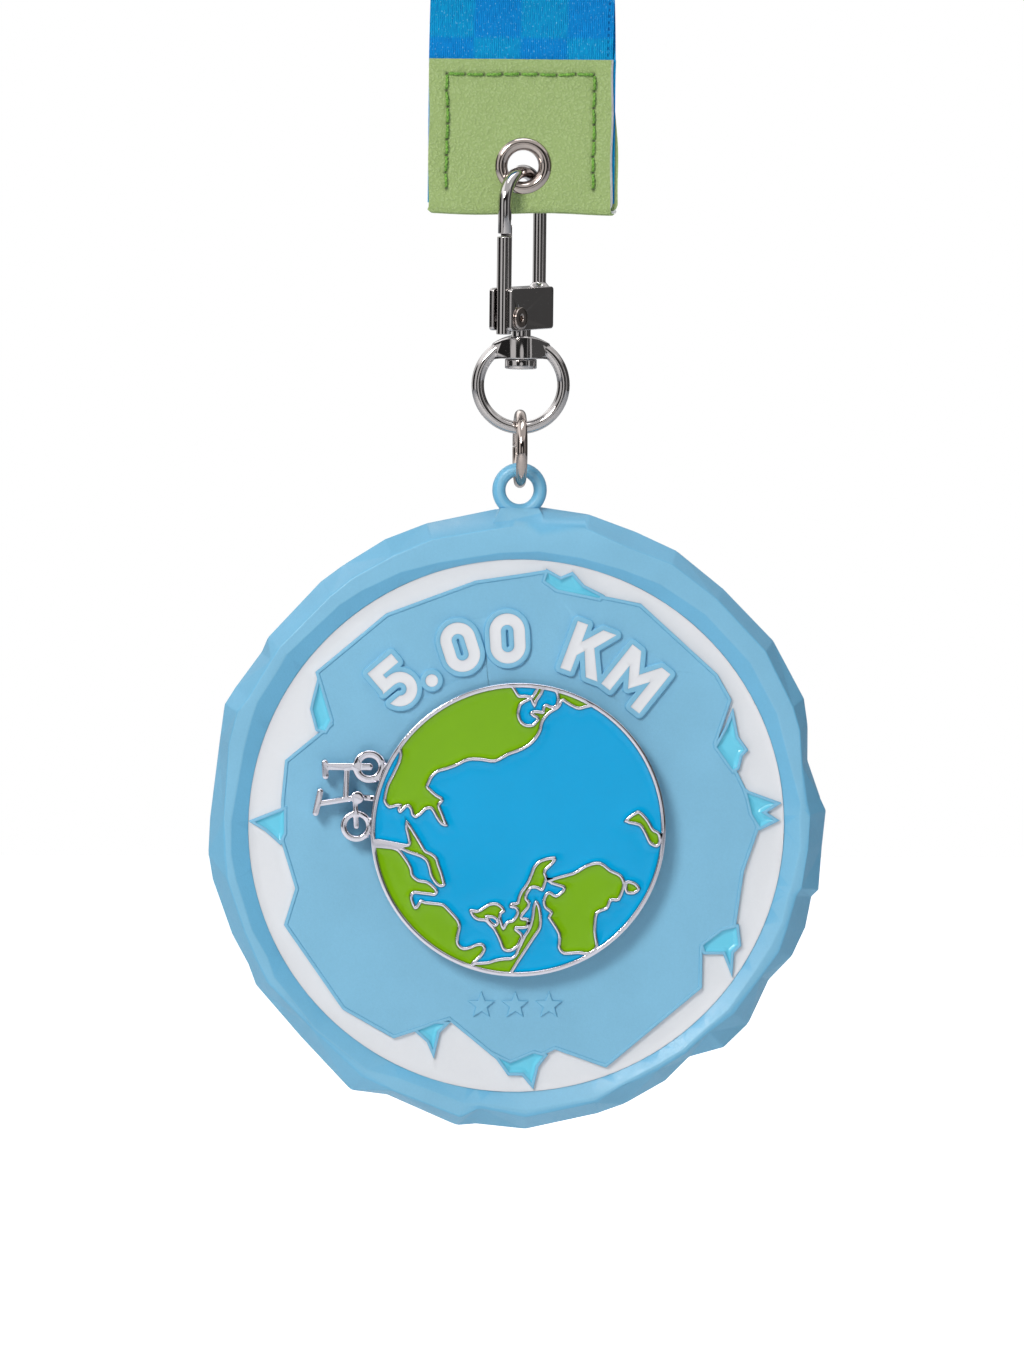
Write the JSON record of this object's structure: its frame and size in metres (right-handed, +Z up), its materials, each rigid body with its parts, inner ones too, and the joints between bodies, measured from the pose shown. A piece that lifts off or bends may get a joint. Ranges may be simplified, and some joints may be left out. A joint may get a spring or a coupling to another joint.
{
  "type": "hanging finisher medal",
  "caption": "Round faceted finisher medal with a spinning enamelled globe, hanging by a jump ring and swivel clasp from a leather tab on a neck ribbon.",
  "frame": {"origin": "inner top of the neck loop, where the medal hangs", "axes": "+Z up, -Y the way the medal's face looks, +X to the right as it is seen from the front"},
  "size_m": [0.0843, 0.0108, 0.1665],
  "materials": {
    "ribbon": "satin woven, two blues",
    "leather": "fine pebbled grain, matt",
    "thread": "twisted",
    "nickel": "polished nickel plate",
    "gunmetal": "polished dark nickel plate",
    "spring_steel": "drawn wire",
    "blue_paint": "satin paint",
    "white_enamel": "glossy soft enamel",
    "teal_enamel": "glossy soft enamel",
    "nylon": "natural nylon",
    "blue_enamel": "glossy soft enamel",
    "green_enamel": "glossy soft enamel"
  },
  "bodies": {
    "ribbon": {"neck_ribbon": "ribbon", "leather_tab": "leather", "tab_stitching": "thread", "eyelet_barrel": "nickel", "eyelet_washer": "nickel"},
    "clasp": {"clasp_frame": "gunmetal", "gate_pin": "nickel", "gate_spring": "spring_steel", "swivel_post": "gunmetal"},
    "gate": {"clasp_gate": "gunmetal"},
    "swivel": {"swivel_ring": "gunmetal"},
    "jump": {"jump_ring": "nickel"},
    "medal": {"medal_casting": "blue_paint", "ring_enamel": "white_enamel", "crack_enamel": "teal_enamel", "inscription_enamel": "white_enamel", "spacer_washer": "nylon"},
    "globe": {"globe_casting": "nickel", "ocean_enamel": "blue_enamel", "land_enamel": "green_enamel", "pivot_stud": "nickel", "retaining_washer": "nickel"}
  },
  "joints": [
    {"name": "clasp_swing", "type": "hinge", "parent": "ribbon", "child": "clasp", "pos_m": [0, 0, -0.0346], "axis": [0, 1, 0], "range_deg": [-25, 25]},
    {"name": "gate_open", "type": "hinge", "parent": "clasp", "child": "gate", "pos_m": [-0.00188, -0.00259, -0.05495], "axis": [-0.809, 0.5878, 0], "range_deg": [0, 25], "stiffness_Nm_per_rad": 0.02, "springref_deg": -17.19},
    {"name": "swivel_turn", "type": "hinge", "parent": "clasp", "child": "swivel", "pos_m": [0, 0, -0.0641], "axis": [0, 0, 1], "continuous": true},
    {"name": "jump_ring_swing", "type": "hinge", "parent": "swivel", "child": "jump", "pos_m": [0, 0, -0.0699], "axis": [1, 0, 0], "range_deg": [-60, 60]},
    {"name": "medal_swing", "type": "hinge", "parent": "jump", "child": "medal", "pos_m": [0, 0, -0.07728], "axis": [0, 1, 0], "range_deg": [-60, 60]},
    {"name": "globe_spin", "type": "hinge", "parent": "medal", "child": "globe", "pos_m": [0, 0, -0.124], "axis": [0, 1, 0], "continuous": true}
  ]
}
